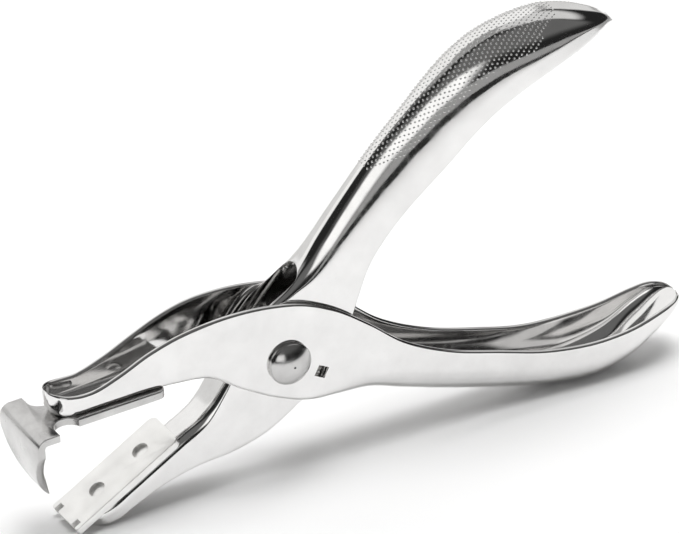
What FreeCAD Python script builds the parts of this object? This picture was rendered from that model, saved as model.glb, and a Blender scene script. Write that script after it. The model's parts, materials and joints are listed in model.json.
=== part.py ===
import FreeCAD, Part
import math
import os

import Sketcher

# Plier-type staple remover: two nested pressed-steel levers on one rivet, with a torsion spring,
# a claw blade under the upper jaw and an anvil plate on the lower jaw. Millimetres, +Z up, +X towards
# the handles, Y along the rivet. The row's origin is under the middle of the tool, on the surface it
# stands on. Each lever and what is fastened to it is drawn with its jaw level and the rivet's axis at
# (0, 0); placements then open the inner lever and stand the whole tool on its jaw and lower handle.

V = FreeCAD.Vector
OUT_DIR = "parts"
os.makedirs(OUT_DIR, exist_ok=True)
doc = FreeCAD.newDocument("staple_remover")

DRIVING = {
    # stance
    "pivot_x": -17.843,
    "pivot_height": 28.621,
    "stand_angle": 2.101,
    "open_angle": 28.7,
    # pressed levers
    "gauge": 1.2,
    "outer_half": 6.25,
    "inner_half": 4.75,
    # window left in the outer lever's web for the inner lever
    "window_front": 23.0,
    "window_rear": 10.0,
    "window_top": 4.2,
    "window_depth": 24.0,
    # opening left in the inner lever's web for the spring
    "throat_front": 12.0,
    "throat_rear": 15.0,
    "throat_low": 5.0,
    "throat_height": 15.0,
    # square hole beside the rivet
    "square_x": 7.7,
    "square_z": 5.1,
    "square_side": 2.7,
    "square_turn": 31.0,
    "square_margin": 0.2,
    # rivet through both levers
    "shank_radius": 2.5,
    "running_gap": 0.05,
    "dome_radius": 5.0,
    "dome_rim": 1.1,
    "dome_rise": 1.8,
    "tail_radius": 4.0,
    "tail_height": 1.0,
    # spacer tube on the rivet
    "sleeve_radius": 3.6,
    "sleeve_length": 7.0,
    # torsion spring
    "coil_radius": 5.0,
    "wire_radius": 0.6,
    "coil_pitch": 1.3,
    "near_leg_y": 1.2,
    "upper_leg_length": 25.0,
    "upper_leg_angle": 23.2,
    "lower_leg_length": 27.0,
    "lower_leg_angle": 20.0,
    # claw plate and blade
    "claw_top": 3.1,
    "claw_gauge": 1.8,
    "claw_rear": 29.6,
    "claw_half": 5.9,
    "neck_rear": 51.0,
    "head_rear": 57.3,
    "head_front": 62.9,
    "head_half": 9.15,
    "bend_radius": 2.6,
    "blade_tip_x": 57.2,
    "blade_tip_z": 16.75,
    "tip_blunt": 0.3,
    "blade_start_z": 1.8,
    "blade_radius": 22.46,
    "bevel_x": 59.18,
    "bevel_z": 10.5,
    "neck_shoulder": 7.2,
    "neck_radius": 3.23,
    "plate_corner": 1.8,
    "front_corner": 0.6,
    "shoulder_z": 1.5,
    # anvil plate
    "anvil_top": 4.5,
    "anvil_gauge": 1.7,
    "anvil_front": 58.9,
    "anvil_rear": 29.2,
    "anvil_half": 5.9,
    "notch_y": 3.9,
    "notch_width": 1.5,
    "notch_depth": 1.9,
    # rivets through the plates
    "front_rivet_x": 49.4,
    "rivet_spacing": 12.6,
    "claw_rivet_x": 48.0,
    "small_shank": 1.3,
    "small_head": 1.9,
    "counterbore_depth": 1.2,
    "sunk_head": 0.4,
    "formed_head": 0.7,
    "punch_reach": 3.0,
}


def make_sheet():
    sheet = doc.addObject("Spreadsheet::Sheet", "size")
    for row, (alias, value) in enumerate(DRIVING.items(), start=1):
        sheet.set(f"A{row}", alias)
        sheet.set(f"B{row}", str(value))
        sheet.setAlias(f"B{row}", alias)
    doc.recompute()
    return sheet


SHEET = make_sheet()


def size(alias):
    return float(SHEET.get(alias))


# ---------------------------------------------------------------- pressed levers
# A lever is a channel: at each station along X it has a half width, the height of its web's outer face,
# the height of its open rim, and the corner between web and wall, as its reach across and its depth.

OUTER_STATIONS = [
    # x, half width, web, rim, corner across, corner depth
    (-56.0, 1.3, 5.3, 9.3, 1.0, 1.0),
    (-55.6, 2.2, 4.4, 9.2, 1.4, 1.4),
    (-54.6, 3.45, 3.6, 9.0, 1.5, 1.5),
    (-53.0, 4.4, 3.2, 8.6, 1.6, 1.6),
    (-50.8, 4.85, 3.1, 8.2, 1.6, 1.6),
    (-46.5, 4.9, 3.1, 8.0, 1.6, 1.6),
    (-40.3, 4.9, 3.1, 9.7, 1.6, 1.6),
    (-32.6, 5.0, 3.1, 12.8, 1.6, 1.6),
    (-26.0, 5.5, 2.9, 14.9, 1.5, 1.5),
    (-19.5, 6.1, 2.2, 16.1, 1.4, 1.4),
    (-11.6, 6.25, -3.3, 16.3, 1.3, 1.3),
    (-2.8, 6.25, -8.7, 15.2, 1.3, 1.3),
    (4.0, 6.25, -11.7, 13.4, 1.6, 1.6),
    (12.0, 6.25, -13.5, 9.2, 3.2, 3.2),
    (20.0, 6.25, -15.2, 2.8, 4.8, 5.0),
    (28.0, 6.2, -18.5, -4.5, 5.3, 6.0),
    (39.0, 6.2, -22.7, -10.8, 5.6, 6.4),
    (51.0, 6.3, -26.7, -15.2, 5.7, 6.4),
    (64.0, 6.95, -30.2, -19.2, 6.1, 6.2),
    (75.0, 7.6, -31.3, -20.5, 6.6, 6.0),
    (84.0, 7.4, -29.3, -20.2, 6.2, 5.4),
    (90.0, 6.9, -25.6, -19.1, 5.4, 4.4),
    (93.8, 6.1, -23.0, -18.4, 4.0, 3.4),
    (96.1, 4.8, -21.3, -18.3, 2.6, 2.2),
    (97.4, 3.2, -20.4, -18.5, 1.4, 1.2),
    (97.9, 1.6, -19.9, -18.8, 0.7, 0.6),
]

INNER_STATIONS = [
    (-55.7, 1.3, 2.2, 0.2, 0.8, 0.8),
    (-55.2, 2.2, 2.7, -0.3, 1.1, 1.1),
    (-54.2, 3.4, 2.8, -1.0, 1.5, 1.5),
    (-52.6, 4.3, 2.8, -1.8, 2.0, 2.0),
    (-50.4, 4.7, 2.8, -2.3, 2.4, 2.4),
    (-45.0, 4.75, 2.8, -2.8, 2.6, 2.6),
    (-38.0, 4.75, 2.8, -3.7, 2.6, 2.6),
    (-29.2, 4.75, 2.8, -6.3, 2.6, 2.6),
    (-21.5, 4.75, 2.8, -9.8, 2.4, 2.4),
    (-14.0, 4.75, 5.4, -11.9, 1.7, 1.7),
    (-5.0, 4.75, 10.4, -12.1, 1.3, 1.3),
    (3.0, 4.75, 13.2, -11.4, 1.3, 1.3),
    (10.0, 4.75, 13.6, -8.6, 2.0, 2.0),
    (16.0, 4.75, 14.96, -4.8, 3.6, 4.4),
    (21.5, 4.75, 16.89, -0.4, 4.3, 6.2),
    (27.0, 4.8, 18.83, 3.6, 4.4, 7.3),
    (33.0, 4.9, 20.81, 6.2, 4.5, 8.6),
    (40.5, 5.1, 23.16, 8.3, 4.7, 10.4),
    (47.5, 5.4, 25.02, 9.6, 5.0, 11.9),
    (54.5, 5.9, 26.5, 10.9, 5.5, 12.3),
    (62.0, 6.5, 28.06, 12.6, 6.0, 12.0),
    (70.0, 7.1, 29.0, 13.6, 6.6, 11.4),
    (77.0, 7.5, 28.34, 13.4, 6.9, 10.5),
    (84.0, 7.6, 26.0, 12.5, 6.9, 9.4),
    (89.0, 7.3, 23.5, 11.6, 6.4, 8.2),
    (93.0, 6.7, 20.7, 10.6, 5.6, 6.6),
    (96.5, 5.7, 17.3, 9.7, 4.6, 4.9),
    (99.3, 4.3, 13.6, 8.8, 3.2, 3.2),
    (101.3, 2.6, 10.4, 7.5, 1.8, 1.8),
    (102.3, 1.3, 8.0, 6.3, 0.8, 0.8),
]

LEAST_CORNER = 0.3
LEAST_CAVITY = 0.5
CAVITY_OVERRUN = 12.0


def corner_edge(centre, wall, web):
    """Quarter ellipse about the centre from the wall's end to the web's end."""
    across, down = (wall - centre).Length, (web - centre).Length
    major, minor = (wall, web) if across >= down else (web, wall)
    return Part.ArcOfEllipse(Part.Ellipse(major, minor, centre), 0.0, math.pi / 2)


def channel_section(x, half, web, rim, across, deep):
    """Closed section across X: straight walls, a straight web and an elliptical corner between them."""
    inward = 1.0 if rim > web else -1.0
    spring = web + inward * deep
    flat = half - across
    edges = []
    for side in (-1, 1):
        wall, web_end = V(x, side * half, spring), V(x, side * flat, web)
        edges.append(Part.LineSegment(V(x, side * half, rim), wall))
        edges.append(corner_edge(V(x, side * flat, spring), wall, web_end))
    edges.append(Part.LineSegment(V(x, -flat, web), V(x, flat, web)))
    edges.append(Part.LineSegment(V(x, half, rim), V(x, -half, rim)))
    ordered = [edges[0], edges[1], edges[4], edges[3], edges[2], edges[5]]
    return Part.Wire([edge.toShape() for edge in ordered])


def inside(station, gauge):
    """The same section one sheet thickness in, run out past the open rim."""
    x, half, web, rim, across, deep = station
    inward = 1.0 if rim > web else -1.0
    across, deep = [max(reach - gauge, LEAST_CORNER) for reach in (across, deep)]
    return x, half - gauge, web + inward * gauge, rim + inward * CAVITY_OVERRUN, across, deep


def pressed_channel(label, stations):
    gauge = size("gauge")
    hull = Part.makeLoft([channel_section(*station) for station in stations], True, False)
    hollow = [inside(s, gauge) for s in stations if s[1] > gauge + LEAST_CORNER + LEAST_CAVITY]
    cavity = Part.makeLoft([channel_section(*station) for station in hollow], True, False)
    form = doc.addObject("Part::Feature", label)
    form.Shape = hull.cut(cavity)
    return form


def bind(obj, **cells):
    for name, expression in cells.items():
        obj.setExpression(name.replace("__", "."), expression)
    return obj


def pin_tool(label, radius, length, x="0", z="0"):
    """Cylinder along Y, centred on the mid-plane."""
    tool = doc.addObject("Part::Cylinder", label)
    tool.Placement = FreeCAD.Placement(V(0, 0, 0), FreeCAD.Rotation(V(1, 0, 0), 90))
    bind(tool, Radius=radius, Height=length, Placement__Base__x=x, Placement__Base__z=z)
    bind(tool, Placement__Base__y=f"({length}) / 2")
    return tool


def box_tool(label, x, y, z, length, width, height):
    tool = doc.addObject("Part::Box", label)
    bind(tool, Length=length, Width=width, Height=height)
    bind(tool, Placement__Base__x=x, Placement__Base__y=y, Placement__Base__z=z)
    return tool


def cut(label, base, tools):
    """Cut the tools from the base one after another; the last cut carries the label."""
    for number, tool in enumerate(tools, start=1):
        last = number == len(tools)
        result = doc.addObject("Part::Cut", label if last else f"{label}_{number}")
        result.Base, result.Tool = base, tool
        base = result
    base.Label = label
    return base


# ---------------------------------------------------------------- sizes bound to the sheet
class Dim:
    """A length read from the sheet, with the expression that keeps it bound to its cells."""

    def __init__(self, value, text):
        self.value, self.text = value, text

    def __neg__(self):
        return Dim(-self.value, f"-({self.text})")

    def __add__(self, other):
        return Dim(self.value + other.value, f"({self.text} + {other.text})")

    def __sub__(self, other):
        return Dim(self.value - other.value, f"({self.text} - {other.text})")

    def __mul__(self, factor):
        return Dim(self.value * factor, f"({self.text}) * {factor}")


def cell(alias):
    return Dim(size(alias), f"size.{alias}")


ZERO = Dim(0.0, "0")
START, END = 1, 2


def arc_between(start, end, radius, left):
    """Circular arc from start to end; left says the centre lies left of the way along it."""
    chord = end - start
    rise = math.sqrt(radius**2 - (chord.Length / 2) ** 2)
    across = V(-chord.y, chord.x, 0).normalize()
    centre = (start + end) * 0.5 + across * (rise if left else -rise)
    first, last = (start, end) if left else (end, start)
    angles = [math.atan2(p.y - centre.y, p.x - centre.x) for p in (first, last)]
    return Part.ArcOfCircle(Part.Circle(centre, V(0, 0, 1), radius), *angles)


def add_sketch(body, plane, label, offset=ZERO):
    sketch = body.newObject("Sketcher::SketchObject", label)
    origin_plane = next(f for f in body.Origin.OriginFeatures if f.Role == plane)
    sketch.AttachmentSupport = (origin_plane, "")
    sketch.MapMode = "FlatFace"
    sketch.AttachmentOffset = FreeCAD.Placement(V(0, 0, offset.value), FreeCAD.Rotation())
    if offset is not ZERO:
        sketch.setExpression("AttachmentOffset.Base.z", offset.text)
    return sketch


def fix(sketch, kind, geometry, point, length):
    args = (kind, geometry, length.value) if point is None else (kind, geometry, point, length.value)
    index = sketch.addConstraint(Sketcher.Constraint(*args))
    sketch.setExpression(f"Constraints[{index}]", length.text)


def outline(sketch, corners, arcs=None):
    """Closed outline through the corners; arcs gives {side: (radius, left)} for its curved sides."""
    arcs = arcs or {}
    points = [V(x.value, y.value, 0) for x, y in corners]
    ends = []
    for side, start in enumerate(points):
        end = points[(side + 1) % len(points)]
        if side in arcs:
            radius, left = arcs[side]
            number = sketch.addGeometry(arc_between(start, end, radius.value, left), False)
            ends.append((number, START if left else END, END if left else START))
            fix(sketch, "Radius", number, None, radius)
        else:
            number = sketch.addGeometry(Part.LineSegment(start, end), False)
            ends.append((number, START, END))
    for side, (number, start, end) in enumerate(ends):
        following, its_start, its_end = ends[(side + 1) % len(ends)]
        join = Sketcher.Constraint("Coincident", number, end, following, its_start)
        sketch.addConstraint(join)
    for (number, start, end), (x, y) in zip(ends, corners):
        fix(sketch, "DistanceX", number, start, x)
        fix(sketch, "DistanceY", number, start, y)


def circle(sketch, x, y, radius):
    ring = Part.Circle(V(x.value, y.value, 0), V(0, 0, 1), radius.value)
    number = sketch.addGeometry(ring, False)
    fix(sketch, "Radius", number, None, radius)
    centre = 3
    fix(sketch, "DistanceX", number, centre, x)
    fix(sketch, "DistanceY", number, centre, y)


def both_sides(sketch, corners, arcs=None):
    """The outline and its mirror image across the sketch's first axis."""
    outline(sketch, corners, arcs)
    mirrored = {side: (radius, not left) for side, (radius, left) in (arcs or {}).items()}
    outline(sketch, [(x, -y) for x, y in corners], mirrored)


def pad(body, sketch, length, middle=False):
    feature = body.newObject("PartDesign::Pad", f"{sketch.Label}_pad")
    feature.Profile = sketch
    feature.setExpression("Length", length.text)
    if middle:
        feature.SideType = "Symmetric"
    doc.recompute()
    return feature


def pocket(body, sketch, length, middle=False, flip=False):
    """Cut the sketch to the length; it fails loudly where nothing is removed."""
    before = body.Shape.Volume
    feature = body.newObject("PartDesign::Pocket", f"{sketch.Label}_pocket")
    feature.Profile = sketch
    feature.setExpression("Length", length.text)
    feature.Reversed = flip
    if middle:
        feature.SideType = "Symmetric"
    doc.recompute()
    if body.Shape.Volume >= before - 1e-3:
        raise ValueError(f"{sketch.Label} cuts nothing")
    return feature


def fillet(body, base, radius, wanted):
    """Round the edges of the base whose centre passes the test."""
    names = [
        f"Edge{number}"
        for number, edge in enumerate(base.Shape.Edges, start=1)
        if wanted(edge.CenterOfMass, edge)
    ]
    feature = body.newObject("PartDesign::Fillet", f"{base.Label}_round")
    feature.Base = (base, names)
    feature.setExpression("Radius", radius.text)
    doc.recompute()
    return feature


def new_body(label):
    body = doc.addObject("PartDesign::Body", label)
    body.Label = label
    return body


# ---------------------------------------------------------------- the two levers
def rivet_tools(label, first_x, face, inward):
    """Holes for the two small rivets, each spot-faced where the formed head bears inside the channel."""
    tools = []
    for number, shift in enumerate(("0", "size.rivet_spacing"), start=1):
        hole = doc.addObject("Part::Cylinder", f"{label}_{number}")
        bind(hole, Radius="size.small_shank", Height="2 * size.punch_reach")
        bind(hole, Placement__Base__z=f"{face} - size.punch_reach")
        spot = doc.addObject("Part::Cylinder", f"{label}_spot_{number}")
        bind(spot, Radius="size.small_head", Height="size.punch_reach")
        low = f"{face} + size.gauge" if inward else f"{face} - size.gauge - size.punch_reach"
        bind(spot, Placement__Base__z=low)
        for tool in (hole, spot):
            bind(tool, Placement__Base__x=f"-{first_x} + {shift}")
            tools.append(tool)
    return tools


def seat_tool(label, face, rear, inward):
    """Block that leaves the web's outer face flat where the plate lies on it."""
    low = f"{face} - size.punch_reach" if inward else face
    return box_tool(
        label,
        x="-size.head_front",
        y="-size.outer_half",
        z=low,
        length=f"size.head_front - {rear}",
        width="2 * size.outer_half",
        height="size.punch_reach",
    )


def square_tool(label, opened, margin):
    """Square prism out through the near walls beside the rivet; it lines up while the tool stands open."""
    swing = "size.open_angle" if opened else "0"
    tool = doc.addObject("Part::Prism", label)
    tool.Polygon = 4
    turn = size("square_turn") + 45 + (size("open_angle") if opened else 0.0)
    across = FreeCAD.Rotation(V(1, 0, 0), 90)
    tool.Placement = FreeCAD.Placement(V(0, 0, 0), FreeCAD.Rotation(V(0, 1, 0), turn) * across)
    bind(tool, Circumradius=f"(size.square_side / 2 + {margin}) * sqrt(2)", Height="2 * size.outer_half")
    bind(tool, Placement__Base__x=f"size.square_x * cos({swing}) - size.square_z * sin({swing})")
    bind(tool, Placement__Base__z=f"-size.square_x * sin({swing}) - size.square_z * cos({swing})")
    return tool


def make_outer_lever():
    form = pressed_channel("outer_lever_form", OUTER_STATIONS)
    window = box_tool(
        "outer_window",
        x="-size.window_front",
        y="-(size.outer_half - size.gauge)",
        z="size.window_top - size.window_depth",
        length="size.window_front + size.window_rear",
        width="2 * (size.outer_half - size.gauge)",
        height="size.window_depth",
    )
    pivot = pin_tool("outer_pivot_hole", "size.shank_radius", "4 * size.outer_half")
    square = square_tool("outer_square", False, "0")
    seat = seat_tool("claw_seat", "size.claw_top", "size.claw_rear", True)
    small = rivet_tools("outer_rivet_hole", "size.claw_rivet_x", "size.claw_top", True)
    return cut("outer_lever", form, [window, pivot, square, seat, *small])


def make_inner_lever():
    form = pressed_channel("inner_lever_form", INNER_STATIONS)
    reach = "(size.inner_half - size.gauge)"
    throat = box_tool(
        "inner_throat",
        x="-size.throat_front",
        y=f"-{reach}",
        z="size.throat_low",
        length=f"size.throat_front + size.throat_rear - {reach}",
        width=f"2 * {reach}",
        height="size.throat_height",
    )
    throat_end = doc.addObject("Part::Cylinder", "inner_throat_end")
    bind(throat_end, Radius=reach, Height="size.throat_height")
    bind(throat_end, Placement__Base__x=f"size.throat_rear - {reach}", Placement__Base__z="size.throat_low")
    pivot = pin_tool("inner_pivot_hole", "size.shank_radius + size.running_gap", "4 * size.inner_half")
    square = square_tool("inner_square", True, "size.square_margin")
    face = "(size.anvil_top - size.anvil_gauge)"
    seat = seat_tool("anvil_seat", face, "size.anvil_rear", False)
    small = rivet_tools("inner_rivet_hole", "size.front_rivet_x", face, False)
    return cut("inner_lever", form, [throat, throat_end, pivot, square, seat, *small])


# ---------------------------------------------------------------- pivot
def make_pivot_rivet():
    body = new_body("pivot_rivet")
    wall, shank = cell("outer_half"), cell("shank_radius")
    dome, rim, rise = cell("dome_radius"), cell("dome_rim"), cell("dome_rise")
    tail, tail_end = cell("tail_radius"), cell("outer_half") + cell("tail_height")
    crown = (size("dome_radius") ** 2 + size("dome_rise") ** 2) / (2 * size("dome_rise"))
    crown_text = "(size.dome_radius ^ 2 + size.dome_rise ^ 2) / (2 * size.dome_rise)"
    profile = add_sketch(body, "XY_Plane", "pivot_rivet_profile")
    corners = [
        (ZERO, -(wall + rim + rise)),
        (dome, -(wall + rim)),
        (dome, -wall),
        (shank, -wall),
        (shank, wall),
        (tail, wall),
        (tail, tail_end),
        (ZERO, tail_end),
    ]
    outline(profile, corners, {0: (Dim(crown, crown_text), True)})
    turned = body.newObject("PartDesign::Revolution", "pivot_rivet_turned")
    turned.Profile = profile
    turned.ReferenceAxis = (profile, ["V_Axis"])
    turned.Angle = 360
    doc.recompute()
    return body


def make_pivot_sleeve():
    body = new_body("pivot_sleeve")
    ring = add_sketch(body, "XZ_Plane", "sleeve_ring")
    circle(ring, ZERO, ZERO, cell("sleeve_radius"))
    circle(ring, ZERO, ZERO, cell("shank_radius") + cell("running_gap"))
    pad(body, ring, cell("sleeve_length"), middle=True)
    return body


def make_return_spring():
    """Coil about the rivet; its ends leave along straight legs, one to each handle."""
    radius, wire, pitch = size("coil_radius"), size("wire_radius"), size("coil_pitch")
    upper = math.radians(size("open_angle") + size("upper_leg_angle"))
    lower = math.radians(-size("lower_leg_angle"))
    quarter = math.pi / 2
    # seen from the near side the coil runs anticlockwise from the upper leg to the lower one
    start_angle = upper + quarter
    whole_turns = 2
    sweep = (lower - quarter - start_angle) % (2 * math.pi) + whole_turns * 2 * math.pi
    helix = Part.makeHelix(pitch, pitch * sweep / (2 * math.pi), radius)
    helix = helix.mirror(V(0, 0, 0), V(0, 1, 0))
    helix.rotate(V(0, 0, 0), V(1, 0, 0), -90)
    helix.rotate(V(0, 0, 0), V(0, -1, 0), math.degrees(start_angle))
    helix.translate(V(0, -size("near_leg_y"), 0))
    path = Part.Wire(helix.Edges)
    first, last = [vertex.Point for vertex in path.OrderedVertexes]
    along = path.Edges[0].tangentAt(path.Edges[0].FirstParameter)
    coil = path.makePipeShell([Part.Wire(Part.makeCircle(wire, first, along))], True, True)
    knuckle = wire * 1.02
    whole = coil
    for start, angle, name in ((first, upper, "upper"), (last, lower, "lower")):
        way = V(math.cos(angle), 0, math.sin(angle))
        whole = whole.fuse(Part.makeSphere(knuckle, start))
        whole = whole.fuse(Part.makeCylinder(wire, size(f"{name}_leg_length"), start, way))
    spring = doc.addObject("Part::Feature", "return_spring")
    spring.Shape = whole
    return spring


# ---------------------------------------------------------------- claw and anvil
def rivet_circles(sketch, first_x, radius):
    circle(sketch, -first_x, ZERO, radius)
    circle(sketch, -(first_x - cell("rivet_spacing")), ZERO, radius)


def stands_at(x):
    """Test for an upright edge at this distance in front of or behind the pivot."""

    def upright(centre, edge):
        box = edge.BoundBox
        return abs(centre.x - x) < 0.01 and box.XLength < 0.01 < box.ZLength

    return upright


def make_claw_blade():
    body = new_body("claw_blade")
    top, gauge = cell("claw_top"), cell("claw_gauge")
    under = top - gauge
    front, rear, start = cell("head_front"), cell("claw_rear"), cell("blade_start_z")
    tip_x, tip_z, blunt = cell("blade_tip_x"), cell("blade_tip_z"), cell("tip_blunt")
    sweep = cell("blade_radius")
    profile = add_sketch(body, "XZ_Plane", "claw_profile")
    corners = [
        (-rear, top),
        (-front, top),
        (-front, -start),
        (-tip_x, -tip_z),
        (blunt - tip_x, -tip_z),
        (-cell("bevel_x"), -cell("bevel_z")),
        (gauge - front, -start),
        (gauge - front, under),
        (-rear, under),
    ]
    outline(profile, corners, {2: (sweep, True), 5: (sweep - gauge, False)})
    plate = pad(body, profile, cell("head_half") * 2, middle=True)

    def bend_edge(x, z):
        return lambda c, edge: abs(c.x - x) + abs(c.z - z) < 0.02 and edge.BoundBox.YLength > 1

    outer = fillet(body, plate, cell("bend_radius"), bend_edge(-size("head_front"), size("claw_top")))
    inner_x = size("claw_gauge") - size("head_front")
    inner_z = size("claw_top") - size("claw_gauge")
    fillet(body, outer, cell("bend_radius") - gauge, bend_edge(inner_x, inner_z))

    clear = cell("head_half") + cell("head_half") * 0.2
    waist = add_sketch(body, "XY_Plane", "claw_waist", top + cell("gauge"))
    waist_corners = [
        (cell("gauge") - rear, clear),
        (-cell("head_rear"), clear),
        (-cell("head_rear"), cell("neck_shoulder")),
        (-cell("neck_rear"), cell("claw_half")),
        (cell("gauge") - rear, cell("claw_half")),
    ]
    both_sides(waist, waist_corners, {2: (cell("neck_radius"), True)})
    pocket(body, waist, gauge + cell("gauge") * 1.5)

    shield = add_sketch(body, "YZ_Plane", "claw_shield", -front - cell("gauge"))
    shield_corners = [
        (clear, -cell("shoulder_z")),
        (cell("head_half"), -cell("shoulder_z")),
        (blunt, -tip_z),
        (blunt, -tip_z - cell("gauge")),
        (clear, -tip_z - cell("gauge")),
    ]
    outline(shield, shield_corners)
    outline(shield, [(-x, y) for x, y in shield_corners])
    pocket(body, shield, (front - tip_x) * 2, flip=True)

    seats = add_sketch(body, "XY_Plane", "claw_rivet_seats", under)
    rivet_circles(seats, cell("claw_rivet_x"), cell("small_head"))
    pocket(body, seats, cell("counterbore_depth"), flip=True)
    holes = add_sketch(body, "XY_Plane", "claw_rivet_holes", top)
    rivet_circles(holes, cell("claw_rivet_x"), cell("small_shank"))
    last = pocket(body, holes, gauge)
    fillet(body, last, cell("plate_corner"), stands_at(-size("claw_rear")))
    return body


def make_anvil_plate():
    body = new_body("anvil_plate")
    top, gauge = cell("anvil_top"), cell("anvil_gauge")
    front, half = cell("anvil_front"), cell("anvil_half")
    notch_floor = front - cell("notch_depth")
    edge_y = [half]
    for side in (1, -1):
        middle = cell("notch_y") * side
        reach = cell("notch_width") * 0.5
        edge_y += [middle + reach, middle + reach, middle - reach, middle - reach]
    edge_y.append(-half)
    edge_x = [front, front, notch_floor, notch_floor, front, front, notch_floor, notch_floor, front, front]
    corners = [(-x, y) for x, y in zip(edge_x, edge_y)]
    corners += [(-cell("anvil_rear"), -half), (-cell("anvil_rear"), half)]
    plan = add_sketch(body, "XY_Plane", "anvil_plan", top - gauge)
    outline(plan, corners)
    pad(body, plan, gauge)
    seats = add_sketch(body, "XY_Plane", "anvil_rivet_seats", top)
    rivet_circles(seats, cell("front_rivet_x"), cell("small_head"))
    pocket(body, seats, cell("counterbore_depth"))
    holes = add_sketch(body, "XY_Plane", "anvil_rivet_holes", top)
    rivet_circles(holes, cell("front_rivet_x"), cell("small_shank"))
    last = pocket(body, holes, gauge)
    rear = fillet(body, last, cell("plate_corner"), stands_at(-size("anvil_rear")))

    def front_corner(c, edge):
        outermost = abs(abs(c.y) - size("anvil_half")) < 0.01
        return outermost and stands_at(-size("anvil_front"))(c, edge)

    fillet(body, rear, cell("front_corner"), front_corner)
    return body


def make_small_rivet(label, x, seat, rising):
    """Rivet with a flat head sunk in the plate's working face and a domed head on the web's far face."""
    body = new_body(label)
    head, shank, dome = cell("small_head"), cell("small_shank"), cell("formed_head")
    depth = cell("counterbore_depth")
    floor = cell(f"{seat}_gauge") - depth
    web = cell("gauge")
    profile = add_sketch(body, "XZ_Plane", f"{label}_profile")
    way = 1 if rising else -1
    levels = [-(cell("sunk_head")), ZERO, floor + web, floor + web + dome]
    low, seat_z, web_z, crown_z = [level * way for level in levels]
    radius = (size("small_head") ** 2 + size("formed_head") ** 2) / (2 * size("formed_head"))
    text = "(size.small_head ^ 2 + size.formed_head ^ 2) / (2 * size.formed_head)"
    corners = [
        (ZERO, low),
        (head, low),
        (head, seat_z),
        (shank, seat_z),
        (shank, web_z),
        (head, web_z),
        (ZERO, crown_z),
    ]
    outline(profile, corners, {5: (Dim(radius, text), rising)})
    turned = body.newObject("PartDesign::Revolution", f"{label}_turned")
    turned.Profile = profile
    turned.ReferenceAxis = (profile, ["V_Axis"])
    turned.Angle = 360
    doc.recompute()
    face = size("claw_top") - size("claw_gauge") if rising else size("anvil_top")
    return body, V(-x, 0, face + way * size("counterbore_depth"))


# ---------------------------------------------------------------- assembly
def stand(obj, opened=False, at=V(0, 0, 0)):
    """Turn a piece about the rivet's axis and set the tool on its surface."""
    angle = size("stand_angle") + (size("open_angle") if opened else 0.0)
    turn = FreeCAD.Rotation(V(0, -1, 0), angle)
    pivot = V(size("pivot_x"), 0, size("pivot_height"))
    obj.Placement = FreeCAD.Placement(pivot + turn.multVec(at), turn)
    if at.Length == 0:
        bind(obj, Placement__Base__x="size.pivot_x", Placement__Base__z="size.pivot_height")
    return obj


def make_pieces():
    pieces = [stand(make()) for make in (make_outer_lever, make_pivot_rivet, make_pivot_sleeve)]
    pieces += [stand(make_return_spring()), stand(make_claw_blade())]
    pieces += [stand(make(), opened=True) for make in (make_inner_lever, make_anvil_plate)]
    small = (("front", 0.0), ("rear", size("rivet_spacing")))
    for place, shift in small:
        x = size("claw_rivet_x") - shift
        body, at = make_small_rivet(f"claw_rivet_{place}", x, "claw", True)
        pieces.append(stand(body, at=at))
        x = size("front_rivet_x") - shift
        body, at = make_small_rivet(f"anvil_rivet_{place}", x, "anvil", False)
        pieces.append(stand(body, opened=True, at=at))
    return pieces


def check(pieces):
    doc.recompute()
    for obj in doc.Objects:
        if {"Invalid", "Error"} & set(obj.State):
            raise RuntimeError(f"{obj.Label} failed: {obj.State}")
    for piece in pieces:
        if piece.Shape.isNull() or not piece.Shape.isValid() or len(piece.Shape.Solids) != 1:
            raise RuntimeError(f"{piece.Label} isn't one valid solid")


def export(pieces):
    for piece in pieces:
        piece.Shape.exportStep(os.path.join(OUT_DIR, f"{piece.Label}.step"))
    whole = Part.makeCompound([piece.Shape for piece in pieces]).optimalBoundingBox(False)
    print("box", [round(value, 3) for value in (whole.XMin, whole.XMax, whole.YMin, whole.YMax)])
    print("height", round(whole.ZMin, 3), round(whole.ZMax, 3))


PIECES = make_pieces()
check(PIECES)
export(PIECES)
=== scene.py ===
import json
import math

import bmesh
import bpy
from mathutils import Matrix, Vector


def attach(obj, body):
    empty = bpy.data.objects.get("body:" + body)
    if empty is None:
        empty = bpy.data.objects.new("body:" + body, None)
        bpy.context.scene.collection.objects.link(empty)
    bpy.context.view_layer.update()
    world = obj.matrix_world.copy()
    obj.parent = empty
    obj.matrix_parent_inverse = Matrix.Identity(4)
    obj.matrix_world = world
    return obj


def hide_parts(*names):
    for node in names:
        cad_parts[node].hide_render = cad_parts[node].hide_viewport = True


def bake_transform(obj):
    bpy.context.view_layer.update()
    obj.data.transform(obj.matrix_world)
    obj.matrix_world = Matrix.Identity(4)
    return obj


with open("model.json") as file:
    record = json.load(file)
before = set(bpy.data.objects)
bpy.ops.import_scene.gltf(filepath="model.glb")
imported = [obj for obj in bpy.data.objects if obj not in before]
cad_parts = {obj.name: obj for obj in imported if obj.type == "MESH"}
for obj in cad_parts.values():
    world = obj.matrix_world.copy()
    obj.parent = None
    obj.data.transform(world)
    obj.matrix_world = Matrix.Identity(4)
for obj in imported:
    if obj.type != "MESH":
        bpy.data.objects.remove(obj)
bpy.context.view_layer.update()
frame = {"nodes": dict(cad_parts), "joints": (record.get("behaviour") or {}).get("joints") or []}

# Plier-type staple remover. The two pressed levers are rebuilt as smooth sheet with rolled rims, the
# plates and rivets get broken edges, the spring is a drawn wire coiled between its two legs.
# Lengths are in millimetres in each lever's own frame, with the jaw level and the rivet at (0, 0),
# except for the stage and the broken edges of the plates and rivets, which are in metres.

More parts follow.
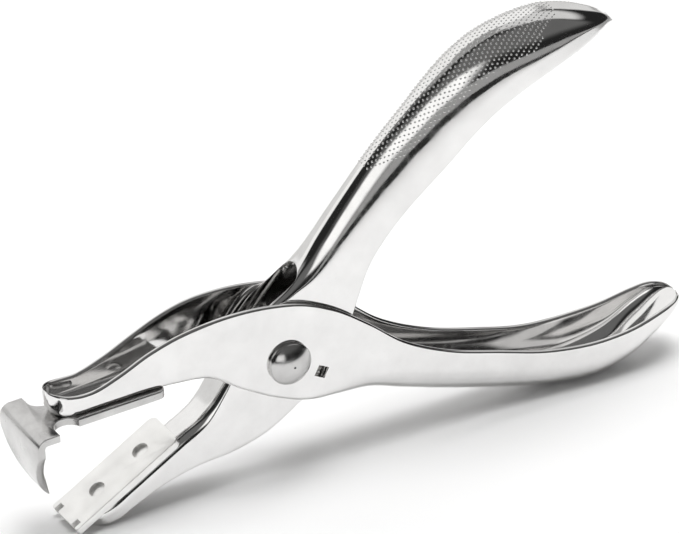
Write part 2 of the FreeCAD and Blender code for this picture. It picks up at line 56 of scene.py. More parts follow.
MM = 0.001
PIVOT = Vector(frame["joints"][0]["pos_m"])
STAND = math.radians(2.101)
OPEN = math.radians(28.7)
OUTER_FRAME = Matrix.Translation(PIVOT) @ Matrix.Rotation(-STAND, 4, "Y") @ Matrix.Scale(MM, 4)
INNER_FRAME = Matrix.Translation(PIVOT) @ Matrix.Rotation(-STAND - OPEN, 4, "Y") @ Matrix.Scale(MM, 4)

GAUGE = 1.2
OUTER_STATIONS = [
    # x, half width, web, rim, corner across, corner depth
    (-56.0, 1.3, 5.3, 9.3, 1.0, 1.0),
    (-55.6, 2.2, 4.4, 9.2, 1.4, 1.4),
    (-54.6, 3.45, 3.6, 9.0, 1.5, 1.5),
    (-53.0, 4.4, 3.2, 8.6, 1.6, 1.6),
    (-50.8, 4.85, 3.1, 8.2, 1.6, 1.6),
    (-46.5, 4.9, 3.1, 8.0, 1.6, 1.6),
    (-40.3, 4.9, 3.1, 9.7, 1.6, 1.6),
    (-32.6, 5.0, 3.1, 12.8, 1.6, 1.6),
    (-26.0, 5.5, 2.9, 14.9, 1.5, 1.5),
    (-19.5, 6.1, 2.2, 16.1, 1.4, 1.4),
    (-11.6, 6.25, -3.3, 16.3, 1.3, 1.3),
    (-2.8, 6.25, -8.7, 15.2, 1.3, 1.3),
    (4.0, 6.25, -11.7, 13.4, 1.6, 1.6),
    (12.0, 6.25, -13.5, 9.2, 3.2, 3.2),
    (20.0, 6.25, -15.2, 2.8, 4.8, 5.0),
    (28.0, 6.2, -18.5, -4.5, 5.3, 6.0),
    (39.0, 6.2, -22.7, -10.8, 5.6, 6.4),
    (51.0, 6.3, -26.7, -15.2, 5.7, 6.4),
    (64.0, 6.95, -30.2, -19.2, 6.1, 6.2),
    (75.0, 7.6, -31.3, -20.5, 6.6, 6.0),
    (84.0, 7.4, -29.3, -20.2, 6.2, 5.4),
    (90.0, 6.9, -25.6, -19.1, 5.4, 4.4),
    (93.8, 6.1, -23.0, -18.4, 4.0, 3.4),
    (96.1, 4.8, -21.3, -18.3, 2.6, 2.2),
    (97.4, 3.2, -20.4, -18.5, 1.4, 1.2),
    (97.9, 1.6, -19.9, -18.8, 0.7, 0.6),
]
INNER_STATIONS = [
    (-55.7, 1.3, 2.2, 0.2, 0.8, 0.8),
    (-55.2, 2.2, 2.7, -0.3, 1.1, 1.1),
    (-54.2, 3.4, 2.8, -1.0, 1.5, 1.5),
    (-52.6, 4.3, 2.8, -1.8, 2.0, 2.0),
    (-50.4, 4.7, 2.8, -2.3, 2.4, 2.4),
    (-45.0, 4.75, 2.8, -2.8, 2.6, 2.6),
    (-38.0, 4.75, 2.8, -3.7, 2.6, 2.6),
    (-29.2, 4.75, 2.8, -6.3, 2.6, 2.6),
    (-21.5, 4.75, 2.8, -9.8, 2.4, 2.4),
    (-14.0, 4.75, 5.4, -11.9, 1.7, 1.7),
    (-5.0, 4.75, 10.4, -12.1, 1.3, 1.3),
    (3.0, 4.75, 13.2, -11.4, 1.3, 1.3),
    (10.0, 4.75, 13.6, -8.6, 2.0, 2.0),
    (16.0, 4.75, 14.96, -4.8, 3.6, 4.4),
    (21.5, 4.75, 16.89, -0.4, 4.3, 6.2),
    (27.0, 4.8, 18.83, 3.6, 4.4, 7.3),
    (33.0, 4.9, 20.81, 6.2, 4.5, 8.6),
    (40.5, 5.1, 23.16, 8.3, 4.7, 10.4),
    (47.5, 5.4, 25.02, 9.6, 5.0, 11.9),
    (54.5, 5.9, 26.5, 10.9, 5.5, 12.3),
    (62.0, 6.5, 28.06, 12.6, 6.0, 12.0),
    (70.0, 7.1, 29.0, 13.6, 6.6, 11.4),
    (77.0, 7.5, 28.34, 13.4, 6.9, 10.5),
    (84.0, 7.6, 26.0, 12.5, 6.9, 9.4),
    (89.0, 7.3, 23.5, 11.6, 6.4, 8.2),
    (93.0, 6.7, 20.7, 10.6, 5.6, 6.6),
    (96.5, 5.7, 17.3, 9.7, 4.6, 4.9),
    (99.3, 4.3, 13.6, 8.8, 3.2, 3.2),
    (101.3, 2.6, 10.4, 7.5, 1.8, 1.8),
    (102.3, 1.3, 8.0, 6.3, 0.8, 0.8),
]


# ---------------------------------------------------------------- sections along a lever
def smooth_rows(stations, step):
    """Rows at short steps along one smooth curve through the stations."""
    ends = [0.0]
    for a, b in zip(stations, stations[1:]):
        ends.append(ends[-1] + math.dist(a, b))
    slopes = []
    last = len(stations) - 1
    for i, row in enumerate(stations):
        before, after = max(i - 1, 0), min(i + 1, last)
        into = max(ends[i] - ends[before], 1e-9)
        out = max(ends[after] - ends[i], 1e-9)
        come = [(a - b) / into for a, b in zip(row, stations[before])]
        go = [(a - b) / out for a, b in zip(stations[after], row)]
        if i == 0:
            slopes.append(go)
        elif i == last:
            slopes.append(come)
        else:
            slopes.append([(c * out + g * into) / (into + out) for c, g in zip(come, go)])
    rows = []
    for i in range(last):
        span = ends[i + 1] - ends[i]
        count = max(2, round(span / step))
        for k in range(count):
            t = k / count
            a = 2 * t**3 - 3 * t**2 + 1
            b = (t**3 - 2 * t**2 + t) * span
            c = 3 * t**2 - 2 * t**3
            d = (t**3 - t**2) * span
            parts = zip(stations[i], slopes[i], stations[i + 1], slopes[i + 1])
            rows.append([a * p + b * m + c * q + d * n for p, m, q, n in parts])
    rows.append(list(stations[-1]))
    return rows


def row_at(rows, x):
    """The row at this x, between its two neighbours."""
    for a, b in zip(rows, rows[1:]):
        if a[0] <= x <= b[0]:
            t = (x - a[0]) / (b[0] - a[0])
            return [p + (q - p) * t for p, q in zip(a, b)]
    raise ValueError(f"no row at {x}")


def spread(a, b, count):
    """Points from a to b, without b."""
    return [(a[0] + (b[0] - a[0]) * k / count, a[1] + (b[1] - a[1]) * k / count) for k in range(count)]


def arc(centre, radius, start, end, count):
    """Points on a circle from angle start to angle end, without the last."""
    angles = [math.radians(start + (end - start) * k / count) for k in range(count)]
    return [(centre[0] + radius * math.cos(a), centre[1] + radius * math.sin(a)) for a in angles]


# The sheet is solid where the half width is small and hollow where it is large.
SOLID_BELOW = 1.7
HOLLOW_ABOVE = 3.6
SOLID_GAP = 0.06
CROWN_TURN = 84.0
LEAST_CORNER = 0.3
LEAST_ROOM = 0.01
ACROSS_SHARE = 0.97
DEEP_SHARE = 0.85
WALL_SHARE = 0.85
FLOOR_SHARE = 0.6
LIP_SHARE = 0.2
INNER_SHARE = 0.95


def crown_arc(flat, across, deep, level, count):
    """Elliptical corner from the web's end to the wall; it meets the wall at a faint crease."""
    last = math.radians(CROWN_TURN)
    points = []
    for k in range(count):
        turn = last * k / count
        y = flat + across * math.sin(turn) / math.sin(last)
        points.append((y, level + deep * (1 - math.cos(turn)) / (1 - math.cos(last))))
    return points


def half_section(half, depth, across, deep):
    """Half of the sheet's section, (y, depth): web's outer centre, round the rim, its inner centre."""
    across = min(across, half * ACROSS_SHARE)
    deep = min(deep, depth * DEEP_SHARE)
    wall = min(GAUGE, half * WALL_SHARE)
    full = min(max((half - SOLID_BELOW) / (HOLLOW_ABOVE - SOLID_BELOW), 0.0), 1.0)
    floor = depth - SOLID_GAP + (min(GAUGE, depth * FLOOR_SHARE) - depth + SOLID_GAP) * full
    lip = min(wall / 2, depth * LIP_SHARE)
    inner = half - wall
    end = depth - lip
    room = max(end - floor, LEAST_ROOM)
    inner_across = min(max(across - GAUGE, LEAST_CORNER), inner * INNER_SHARE)
    inner_deep = min(max(deep - GAUGE, LEAST_CORNER), room * INNER_SHARE)
    points = spread((0.0, 0.0), (half - across, 0.0), 4)
    points += crown_arc(half - across, across, deep, 0.0, 24)
    points += spread((half, deep), (half, end), 10)
    points += arc((half - lip, end), lip, 0, 90, 4)
    points += spread((half - lip, depth), (inner + lip, depth), 2)
    points += arc((inner + lip, end), lip, 90, 180, 4)
    outer_count = len(points)
    points += spread((inner, end), (inner, floor + inner_deep), 8)
    points += reversed(crown_arc(inner - inner_across, inner_across, inner_deep, floor, 12))
    points += spread((inner - inner_across, floor), (0.0, floor), 4)[1:]
    points.append((0.0, floor))
    return points, outer_count


def lever_mesh(name, rows):
    """Closed sheet-metal channel lofted through the rows; inside faces carry the second material, a
    darker plating that is painted shade in the channel's hollow.
    """
    shell = bmesh.new()
    loops = []
    for x, half, web, rim, across, deep in rows:
        inward = 1.0 if rim > web else -1.0
        points, outer_count = half_section(half, abs(rim - web), across, deep)
        mirrored = [(-y, d) for y, d in reversed(points[1:-1])]
        loops.append([shell.verts.new((x, y, web + inward * d)) for y, d in points + mirrored])
    count = len(loops[0])
    for a, b in zip(loops, loops[1:]):
        for k in range(count):
            n = (k + 1) % count
            face = shell.faces.new((a[k], a[n], b[n], b[k]))
            # Inside faces take the darker second material: painted shade inside the channel.
            face.material_index = 1 if outer_count <= k < count - outer_count else 0
            face.smooth = True
    shell.faces.new(loops[0])
    shell.faces.new(reversed(loops[-1]))
    bmesh.ops.recalc_face_normals(shell, faces=shell.faces)
    return mesh_from(name, shell)


# ---------------------------------------------------------------- helpers for pieces
EDGE_SEGMENTS = 3
END_SEGMENTS = 12
TOUCHING = 1e-6


def mesh_from(name, form):
    mesh = bpy.data.meshes.new(name)
    form.to_mesh(mesh)
    form.free()
    return mesh


def add(name, mesh):
    piece = bpy.data.objects.new(name, mesh)
    bpy.context.scene.collection.objects.link(piece)
    return piece


def bake(piece, crease=35.0):
    """Apply the piece's modifiers and its matrix; faces meeting below the crease angle shade smooth."""
    bpy.context.view_layer.update()
    graph = bpy.context.evaluated_depsgraph_get()
    mesh = bpy.data.meshes.new_from_object(
        piece.evaluated_get(graph), preserve_all_data_layers=True, depsgraph=graph
    )
    mesh.transform(piece.matrix_world)
    piece.modifiers.clear()
    piece.matrix_world = Matrix.Identity(4)
    piece.data = mesh
    for face in mesh.polygons:
        face.use_smooth = True
    mesh.set_sharp_from_angle(angle=math.radians(crease))


def cut_away(piece, tools):
    for tool in tools:
        cut = piece.modifiers.new("cut", "BOOLEAN")
        cut.operation = "DIFFERENCE"
        cut.solver = "EXACT"
        cut.object = tool


def bevel(piece, width, angle):
    edge = piece.modifiers.new("edge", "BEVEL")
    edge.width = width
    edge.segments = EDGE_SEGMENTS
    edge.limit_method = "ANGLE"
    edge.angle_limit = math.radians(angle)
    edge.harden_normals = False
    edge.use_clamp_overlap = True


def block(name, low, high, end_radius=0.0):
    """Box cutter between two corners; its far end along X may be rounded in plan."""
    form = bmesh.new()
    bmesh.ops.create_cube(form, size=1.0)
    low, high = Vector(low), Vector(high)
    for vert in form.verts:
        vert.co = Vector([(low[i] + high[i]) / 2 + vert.co[i] * (high[i] - low[i]) for i in range(3)])
    if end_radius:
        upright = []
        for edge in form.edges:
            first, last = edge.verts
            at_end = min(first.co.x, last.co.x) > high.x - TOUCHING
            if at_end and abs(first.co.y - last.co.y) < TOUCHING:
                upright.append(edge)
        bmesh.ops.bevel(
            form, geom=upright, offset=end_radius, segments=END_SEGMENTS, profile=0.5, affect="EDGES"
        )
    return add(name, mesh_from(name, form))


def discard(tools):
    for tool in tools:
        bpy.data.objects.remove(tool)


# ---------------------------------------------------------------- materials
NOISE_LOW = 0.3
NOISE_HIGH = 0.7
TONE_SCALE = 140.0
CLOUD_SCALE = 260.0
WAVE_SCALE = 60.0
GRAIN_POLISH = 0.03
GRAIN_DISTANCE = 0.00005
WAVE_DISTANCE = 0.001
WAVE_STRENGTH = 0.03


def node_tree(name):
    material = bpy.data.materials.new(name)
    material.use_nodes = True
    tree = material.node_tree
    tree.nodes.clear()
    return material, tree


def link(tree, source, target):
    tree.links.new(source, target)


def noise(tree, coords, scale, detail, rough):
    node = tree.nodes.new("ShaderNodeTexNoise")
    node.inputs["Scale"].default_value = scale
    node.inputs["Detail"].default_value = detail
    node.inputs["Roughness"].default_value = rough
    link(tree, coords, node.inputs["Vector"])
    return node.outputs["Fac"]


def ranged(tree, value, low, high):
    """The noise value spread from low to high."""
    node = tree.nodes.new("ShaderNodeMapRange")
    node.inputs["From Min"].default_value = NOISE_LOW
    node.inputs["From Max"].default_value = NOISE_HIGH
    node.inputs["To Min"].default_value = low
    node.inputs["To Max"].default_value = high
    link(tree, value, node.inputs["Value"])
    return node.outputs["Result"]


def stretched(tree, coords, scale):
    node = tree.nodes.new("ShaderNodeMapping")
    node.inputs["Scale"].default_value = scale
    link(tree, coords, node.inputs["Vector"])
    return node.outputs["Vector"]


def metal(
    name, light, dark, rough_low, rough_high, grain=(1.0, 1.0, 1.0), grain_scale=900.0, relief=0.05
):
    """Plated or bare steel: cloudy tone, uneven polish, fine grain and a slow waviness of the sheet."""
    material, tree = node_tree(name)
    coords = tree.nodes.new("ShaderNodeTexCoord").outputs["Object"]
    shader = tree.nodes.new("ShaderNodeBsdfPrincipled")
    shader.inputs["Metallic"].default_value = 1.0
    out = tree.nodes.new("ShaderNodeOutputMaterial")
    link(tree, shader.outputs["BSDF"], out.inputs["Surface"])

    tone = tree.nodes.new("ShaderNodeMix")
    tone.data_type = "RGBA"
    tone.inputs["A"].default_value = (*dark, 1.0)
    tone.inputs["B"].default_value = (*light, 1.0)
    link(tree, ranged(tree, noise(tree, coords, TONE_SCALE, 4.0, 0.6), 0.0, 1.0), tone.inputs["Factor"])
    link(tree, tone.outputs["Result"], shader.inputs["Base Color"])

    lines = noise(tree, stretched(tree, coords, grain), grain_scale, 4.0, 0.6)
    clouds = noise(tree, coords, CLOUD_SCALE, 3.0, 0.5)
    polish = tree.nodes.new("ShaderNodeMath")
    polish.operation = "ADD"
    link(tree, ranged(tree, clouds, rough_low, rough_high), polish.inputs[0])
    link(tree, ranged(tree, lines, -GRAIN_POLISH, GRAIN_POLISH), polish.inputs[1])
    link(tree, polish.outputs["Value"], shader.inputs["Roughness"])

    fine = tree.nodes.new("ShaderNodeBump")
    fine.inputs["Strength"].default_value = relief
    fine.inputs["Distance"].default_value = GRAIN_DISTANCE
    link(tree, lines, fine.inputs["Height"])
    wave = tree.nodes.new("ShaderNodeBump")
    wave.inputs["Strength"].default_value = WAVE_STRENGTH
    wave.inputs["Distance"].default_value = WAVE_DISTANCE
    link(tree, noise(tree, coords, WAVE_SCALE, 1.0, 0.3), wave.inputs["Height"])
    link(tree, fine.outputs["Normal"], wave.inputs["Normal"])
    link(tree, wave.outputs["Normal"], shader.inputs["Normal"])
    return material


CHROME = metal("plated_chrome", (0.86, 0.855, 0.85), (0.78, 0.775, 0.77), 0.05, 0.13)
# Inside of the channels: the plating made darker as painted shade in the hollow; its rougher polish and
# grain are the sheet's own.
SHADED_INSIDE = metal("plated_inside_painted_shade", (0.50, 0.475, 0.45), (0.36, 0.34, 0.32), 0.12, 0.26, relief=0.12)
SATIN = metal(
    "satin_plate", (0.93, 0.925, 0.91), (0.88, 0.875, 0.86), 0.28, 0.42,
    (1.0, 12.0, 1.0), 700.0, 0.1
)
CLAW = metal(
    "polished_claw", (0.66, 0.655, 0.65), (0.50, 0.495, 0.49), 0.16, 0.28,
    (1.0, 8.0, 1.0), 600.0, 0.08
)
RIVET = metal("plated_rivet", (0.64, 0.635, 0.63), (0.52, 0.515, 0.51), 0.14, 0.24)
WIRE = metal(
    "spring_wire", (0.90, 0.89, 0.87), (0.76, 0.75, 0.73), 0.2, 0.32,
    (1.0, 6.0, 6.0), 900.0, 0.15
)
DOTS = metal("raised_dots", (0.95, 0.95, 0.94), (0.88, 0.88, 0.87), 0.3, 0.4)
TUBE = metal(
    "turned_tube", (0.62, 0.615, 0.60), (0.5, 0.495, 0.48), 0.2, 0.32,
    (1.0, 14.0, 1.0), 900.0, 0.15
)


def dress(piece, *materials):
    piece.data.materials.clear()
    for material in materials:
        piece.data.materials.append(material)


# ---------------------------------------------------------------- levers
SQUARE_AT = (7.7, -5.1)
SQUARE_SIDE = 2.7
SQUARE_TURN = math.radians(31.0)
ROW_STEP = 0.8
RIM_EDGE = 0.22
RIM_ANGLE = 50.0


def square_punch(name, margin, opened):
    """Square prism through the near walls; the inner lever's hole lines up with it while open."""
    half = SQUARE_SIDE / 2 + margin
    tool = block(name, (-half, -10.0, -half), (half, 0.0, half))
    swing = Matrix.Rotation(OPEN if opened else 0.0, 4, "Y")
    place = Matrix.Translation((SQUARE_AT[0], 0.0, SQUARE_AT[1])) @ Matrix.Rotation(SQUARE_TURN, 4, "Y")
    tool.matrix_world = swing @ place
    return tool


def make_lever(name, node, stations, cutters, place, body):
    rows = smooth_rows(stations, ROW_STEP)
    lever = add(name, lever_mesh(name, rows))
    # The second material paints shade on the channel's inside faces.
    dress(lever, CHROME, SHADED_INSIDE)
    cut_away(lever, cutters)
    bake(lever)
    discard(cutters)
    bevel(lever, RIM_EDGE, RIM_ANGLE)
    lever.matrix_world = place
    bake(lever)
    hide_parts(node)
    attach(lever, body)
    return rows


window = block("window_cutter", (-23.0, -5.05, -20.0), (10.0, 5.05, 4.2))
outer_cutters = [window, square_punch("outer_square", 0.0, False)]
make_lever(
    "outer_lever_sheet",
    "outer_lever",
    OUTER_STATIONS,
    outer_cutters,
    OUTER_FRAME,
    "outer_body",
)
throat = block("throat_cutter", (-12.0, -3.55, 5.0), (15.0, 3.55, 20.0), 3.54)
inner_cutters = [throat, square_punch("inner_square", 0.2, True)]
INNER_ROWS = make_lever(
    "inner_lever_sheet",
    "inner_lever",
    INNER_STATIONS,
    inner_cutters,
    INNER_FRAME,
    "inner_body",
)


# ---------------------------------------------------------------- plates and rivets
WELD = 2e-6
FLAT_TURN = math.radians(1.0)
EDGE_ANGLE = 30.0
EDGE_CREASE = 32.0
CLAW_EDGE = 0.00022
ANVIL_EDGE = 0.00025
DOME_EDGE = 0.0003
SMALL_EDGE = 0.00012


def soften(node, name, width, body, material):
    """The node's own shape with its edges broken."""
    mesh = frame["nodes"][node].data.copy()
    form = bmesh.new()
    form.from_mesh(mesh)
    bmesh.ops.remove_doubles(form, verts=form.verts, dist=WELD)
    bmesh.ops.dissolve_limit(form, angle_limit=FLAT_TURN, verts=form.verts, edges=form.edges)
    form.to_mesh(mesh)
    form.free()
    piece = add(name, mesh)
    dress(piece, material)
    bevel(piece, width, EDGE_ANGLE)
    bake(piece, EDGE_CREASE)
    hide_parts(node)
    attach(piece, body)


soften("claw_blade", "claw_plate_blade", CLAW_EDGE, "outer_body", CLAW)
soften("anvil_plate", "anvil_plate_body", ANVIL_EDGE, "inner_body", SATIN)
soften("pivot_rivet", "pivot_rivet_head", DOME_EDGE, "outer_body", RIVET)
for place in ("front", "rear"):
    upper, lower = f"claw_rivet_{place}", f"anvil_rivet_{place}"
    soften(upper, f"{upper}_body", SMALL_EDGE, "outer_body", RIVET)
    soften(lower, f"{lower}_body", SMALL_EDGE, "inner_body", SATIN)
dress(frame["nodes"]["pivot_sleeve"], TUBE)


# ---------------------------------------------------------------- grip dots
DOT_RADIUS = 0.27
DOT_HEIGHT = 0.13
DOT_PITCH = 1.08
DOT_ROW_PITCH = DOT_PITCH * 0.5 * 1.7
DOT_SIDES = 8
DOT_PROFILE = ((1.0, -0.3), (0.8, 0.55), (0.42, 0.9))
DOT_CREASE = 60.0
LOOK_AHEAD = 0.2
FADE_LENGTH = 12.0
FADE_LEAD = 4.0
FADE_TAIL = 3.0
CROWN_STEP = 0.01


def crown_point(row, around):
    """Point and outward normal on the web's outer face, this far round from its centre line."""
    x, half, web, rim, across, deep = row
    inward = 1.0 if rim > web else -1.0
    side = 1.0 if around >= 0 else -1.0
    last = math.radians(CROWN_TURN)
    wide, tall = across / math.sin(last), deep / (1 - math.cos(last))
    travelled, turn, y, depth = 0.0, 0.0, half - across, 0.0
    over = abs(around) - (half - across)
    if over <= 0:
        return Vector((x, around, web)), Vector((0.0, 0.0, -inward))
    while travelled < over and turn < last:
        turn += CROWN_STEP
        ahead = half - across + wide * math.sin(turn), tall * (1 - math.cos(turn))
        travelled += math.dist((y, depth), ahead)
        y, depth = ahead
    normal = Vector((0.0, side * tall * math.sin(turn), -inward * wide * math.cos(turn))).normalized()
    return Vector((x, side * y, web + inward * depth)), normal


def add_dot(form, centre, normal, along):
    """One raised dot: rings of shrinking reach and growing rise, closed on top."""
    side = normal.cross(along).normalized()
    ahead = side.cross(normal).normalized()
    rings = []
    for reach, rise in DOT_PROFILE:
        ring = []
        for k in range(DOT_SIDES):
            angle = math.tau * k / DOT_SIDES
            offset = (ahead * math.cos(angle) + side * math.sin(angle)) * DOT_RADIUS * reach
            ring.append(form.verts.new(centre + offset + normal * DOT_HEIGHT * rise))
        rings.append(ring)
    for low, high in zip(rings, rings[1:]):
        for k in range(DOT_SIDES):
            n = (k + 1) % DOT_SIDES
            form.faces.new((low[k], low[n], high[n], high[k]))
    form.faces.new(rings[-1])


def make_dots(name, rows, start, end, cover, place, body):
    """Staggered rows of raised dots over the handle's crown, as wide as this share of the half width."""
    form = bmesh.new()
    x = start
    number = 0
    while x < end:
        row = row_at(rows, x)
        ahead = row_at(rows, x + LOOK_AHEAD)
        along = Vector((LOOK_AHEAD, 0.0, ahead[2] - row[2])).normalized()
        lead = (x - start + FADE_LEAD) / FADE_LENGTH
        tail = (end - x + FADE_TAIL) / FADE_LENGTH
        fade = min(1.0, lead, tail)
        reach = row[1] * cover * fade
        shift = DOT_PITCH / 2 if number % 2 else 0.0
        count = int((reach + shift) / DOT_PITCH)
        for k in range(-count, count + 1):
            across = k * DOT_PITCH + shift
            if abs(across) > reach:
                continue
            centre, normal = crown_point(row, across)
            normal = (normal - along * normal.dot(along)).normalized()
            add_dot(form, centre, normal, along)
        x += DOT_ROW_PITCH * along.x
        number += 1
    bmesh.ops.recalc_face_normals(form, faces=form.faces)
    dots = add(name, mesh_from(name, form))
    dots.matrix_world = place
    dress(dots, DOTS)
    bake(dots, DOT_CREASE)
    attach(dots, body)


make_dots("upper_grip_dots", INNER_ROWS, 40.0, 94.0, 1.35, INNER_FRAME, "inner_body")


# ---------------------------------------------------------------- spring
COIL_RADIUS = 5.0
WIRE_RADIUS = 0.6
COIL_PITCH = 1.3
UPPER_LEG = (math.radians(23.2) + OPEN, 25.0)
LOWER_LEG = (math.radians(-20.0), 27.0)
NEAR_LEG_Y = -1.2
COIL_STEP = math.radians(8)
LEG_STEPS = 16
WIRE_SIDES = 14
WIRE_CREASE = 50.0
ROUND_END = (0.98, 0.7, 0.3)


def spring_path():
    """Centre line: upper leg in, round the coil, lower leg out."""
    upper, upper_length = UPPER_LEG
    lower, lower_length = LOWER_LEG
    start = upper + math.pi / 2
    sweep = (lower - math.pi / 2 - start) % math.tau + 2 * math.tau
    points = []
    steps = int(sweep / COIL_STEP)
    for k in range(steps + 1):
        angle = start + sweep * k / steps
        y = NEAR_LEG_Y + COIL_PITCH * sweep / math.tau * k / steps
        points.append(Vector((COIL_RADIUS * math.cos(angle), y, COIL_RADIUS * math.sin(angle))))
    legs = []
    for tip, angle, length in ((points[0], upper, upper_length), (points[-1], lower, lower_length)):
        way = Vector((math.cos(angle), 0.0, math.sin(angle)))
        legs.append([tip + way * length * k / LEG_STEPS for k in range(1, LEG_STEPS + 1)])
    return list(reversed(legs[0])) + points + legs[1]


def tube(name, path, radius):
    """Round wire along the path, with rounded ends."""
    form = bmesh.new()
    normal = Vector((0.0, 1.0, 0.0))
    rings = []
    first, last = (path[1] - path[0]).normalized(), (path[-1] - path[-2]).normalized()
    stops = [(path[0] + first * radius * (1 - s), first, math.sqrt(1 - s * s)) for s in ROUND_END]
    for k in range(1, len(path) - 1):
        stops.append((path[k], (path[k + 1] - path[k - 1]).normalized(), 1.0))
    for s in reversed(ROUND_END):
        stops.append((path[-1] - last * radius * (1 - s), last, math.sqrt(1 - s * s)))
    for centre, along, share in stops:
        side = normal.cross(along).normalized()
        normal = along.cross(side).normalized()
        ring = []
        for k in range(WIRE_SIDES):
            angle = math.tau * k / WIRE_SIDES
            around = side * math.cos(angle) + normal * math.sin(angle)
            ring.append(form.verts.new(centre + around * radius * share))
        rings.append(ring)
    for a, b in zip(rings, rings[1:]):
        for k in range(WIRE_SIDES):
            n = (k + 1) % WIRE_SIDES
            form.faces.new((a[k], a[n], b[n], b[k]))
    form.faces.new(rings[0])
    form.faces.new(reversed(rings[-1]))
    bmesh.ops.recalc_face_normals(form, faces=form.faces)
    return add(name, mesh_from(name, form))


spring = tube("torsion_spring", spring_path(), WIRE_RADIUS)
spring.matrix_world = OUTER_FRAME
dress(spring, WIRE)
bake(spring, WIRE_CREASE)
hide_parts("return_spring")
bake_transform(spring)


# ---------------------------------------------------------------- floor, light, camera
FLOOR_SIZE = 6.0
FLAG_Y = -0.24
FLAG_HEIGHT = 0.028
FLAG_REACH = 0.6


def matt(name, grey, roughness):
    """Plain unpolished surface of one grey."""
    material, tree = node_tree(name)
    shader = tree.nodes.new("ShaderNodeBsdfPrincipled")
    shader.inputs["Base Color"].default_value = (grey, grey, grey, 1.0)
    shader.inputs["Roughness"].default_value = roughness
    out = tree.nodes.new("ShaderNodeOutputMaterial")
    link(tree, shader.outputs["BSDF"], out.inputs["Surface"])
    return material


def make_floor():
    form = bmesh.new()
    bmesh.ops.create_grid(form, x_segments=1, y_segments=1, size=FLOOR_SIZE / 2)
    floor = add("floor", mesh_from("floor", form))
    floor.data.materials.append(matt("pale_floor", 0.9, 0.9))


# A studio patch: azimuth and elevation of its centre, half width, half height and soft edge in
# degrees, then its brightness. Azimuth is counted from +X (the handles) towards +Y (the far side).
STUDIO = (
    (90.0, 0.0, 44.0, 20.0, 8.0, 0.75),
    (112.0, 38.0, 50.0, 16.0, 8.0, 1.0),
    (-111.0, 9.0, 9.0, 7.0, 9.0, 1.15),
    (30.0, 58.0, 36.0, 16.0, 14.0, 0.7),
    (125.0, 70.0, 70.0, 20.0, 12.0, 0.33),
    (-75.0, 48.0, 50.0, 20.0, 18.0, 0.12),
)
STUDIO_GREY = 0.02


def make_flag():
    """Low black flag in front of the tool; it shows only as a dark band in the plated steel."""
    form = bmesh.new()
    bottom = [(-FLAG_REACH, FLAG_Y, 0.0), (FLAG_REACH, FLAG_Y, 0.0)]
    top = [(FLAG_REACH, FLAG_Y, FLAG_HEIGHT), (-FLAG_REACH, FLAG_Y, FLAG_HEIGHT)]
    form.faces.new([form.verts.new(corner) for corner in bottom + top])
    flag = add("flag", mesh_from("flag", form))
    flag.data.materials.append(matt("black_felt", 0.02, 1.0))
    flag.visible_camera = flag.visible_diffuse = flag.visible_shadow = False


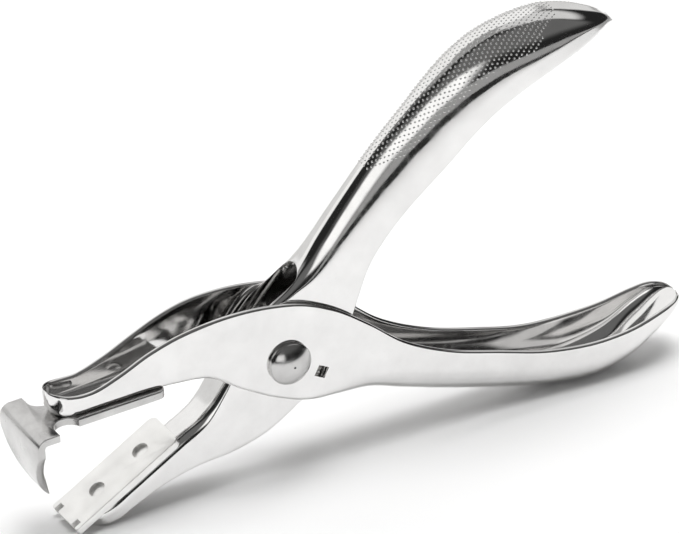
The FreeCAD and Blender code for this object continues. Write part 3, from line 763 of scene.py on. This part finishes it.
def make_world():
    """Nearly black studio round the tool, lit by the soft patches of STUDIO."""
    world = bpy.data.worlds.new("studio")
    bpy.context.scene.world = world
    world.use_nodes = True
    tree = world.node_tree
    tree.nodes.clear()
    apart = tree.nodes.new("ShaderNodeSeparateXYZ")
    link(tree, tree.nodes.new("ShaderNodeTexCoord").outputs["Generated"], apart.inputs[0])

    def math_node(operation, first, second=None):
        node = tree.nodes.new("ShaderNodeMath")
        node.operation = operation
        for socket, value in zip(node.inputs, (first, second)):
            if value is None:
                continue
            if isinstance(value, float):
                socket.default_value = value
            else:
                link(tree, value, socket)
        return node.outputs["Value"]

    azimuth = math_node("ARCTAN2", apart.outputs["Y"], apart.outputs["X"])
    elevation = math_node("ARCSINE", apart.outputs["Z"])

    def within(angle, half, edge):
        """One inside the half angle, zero past the soft edge."""
        span = tree.nodes.new("ShaderNodeMapRange")
        span.interpolation_type = "SMOOTHSTEP"
        span.inputs["From Min"].default_value = math.radians(half + edge)
        span.inputs["From Max"].default_value = math.radians(half)
        link(tree, math_node("ABSOLUTE", angle), span.inputs["Value"])
        return span.outputs["Result"]

    def patch(across, up, half_width, half_height, edge, brightness):
        turned = math_node("SUBTRACT", azimuth, math.radians(across))
        turned = math_node("ARCTAN2", math_node("SINE", turned), math_node("COSINE", turned))
        raised = math_node("SUBTRACT", elevation, math.radians(up))
        area = math_node("MULTIPLY", within(turned, half_width, edge), within(raised, half_height, edge))
        return math_node("MULTIPLY", area, brightness)

    total = patch(*STUDIO[0])
    for entry in STUDIO[1:]:
        total = math_node("MAXIMUM", total, patch(*entry))
    background = tree.nodes.new("ShaderNodeBackground")
    background.inputs["Color"].default_value = (1.0, 0.995, 0.985, 1.0)
    link(tree, math_node("ADD", total, STUDIO_GREY), background.inputs["Strength"])
    out = tree.nodes.new("ShaderNodeOutputWorld")
    link(tree, background.outputs["Background"], out.inputs["Surface"])


def make_pool(where, size, spread_angle, power):
    """Soft lamp for the floor near the tool; hidden from reflections, so the steel doesn't show it."""
    lamp = bpy.data.lights.new("floor_pool", "AREA")
    lamp.shape = "RECTANGLE"
    lamp.size, lamp.size_y = size
    lamp.spread = math.radians(spread_angle)
    lamp.energy = power
    holder = bpy.data.objects.new("floor_pool", lamp)
    bpy.context.scene.collection.objects.link(holder)
    holder.location = where
    holder.visible_glossy = False


VIEW_WIDTH = 147.609
VIEW_AWAY = Vector((-0.38842, -0.766, 0.51262))
VIEW_RIGHT = Vector((0.8824, -0.469, -0.03245))
PIVOT_OFF_CENTRE = (13.89, 17.93)
LENS = 1000.0
SENSOR = 36.0
CLIP_NEAR = 0.05
CLIP_FAR = 20.0


def make_camera():
    away = VIEW_AWAY.normalized()
    right = (VIEW_RIGHT - away * VIEW_RIGHT.dot(away)).normalized()
    up = away.cross(right)
    lens = bpy.data.cameras.new("camera")
    lens.lens = LENS
    lens.sensor_width = SENSOR
    distance = VIEW_WIDTH * MM * LENS / SENSOR
    camera = bpy.data.objects.new("camera", lens)
    bpy.context.scene.collection.objects.link(camera)
    centre = PIVOT + (right * PIVOT_OFF_CENTRE[0] + up * PIVOT_OFF_CENTRE[1]) * MM
    turn = Matrix((right, up, away)).transposed().to_4x4()
    camera.matrix_world = Matrix.Translation(centre + away * distance) @ turn
    lens.clip_start = CLIP_NEAR
    lens.clip_end = CLIP_FAR
    bpy.context.scene.camera = camera


make_floor()
make_flag()
make_world()
make_pool((0.0, 0.27, 0.3), (0.9, 0.98), 50.0, 2.3)
make_camera()
bpy.context.scene.view_settings.view_transform = "Standard"
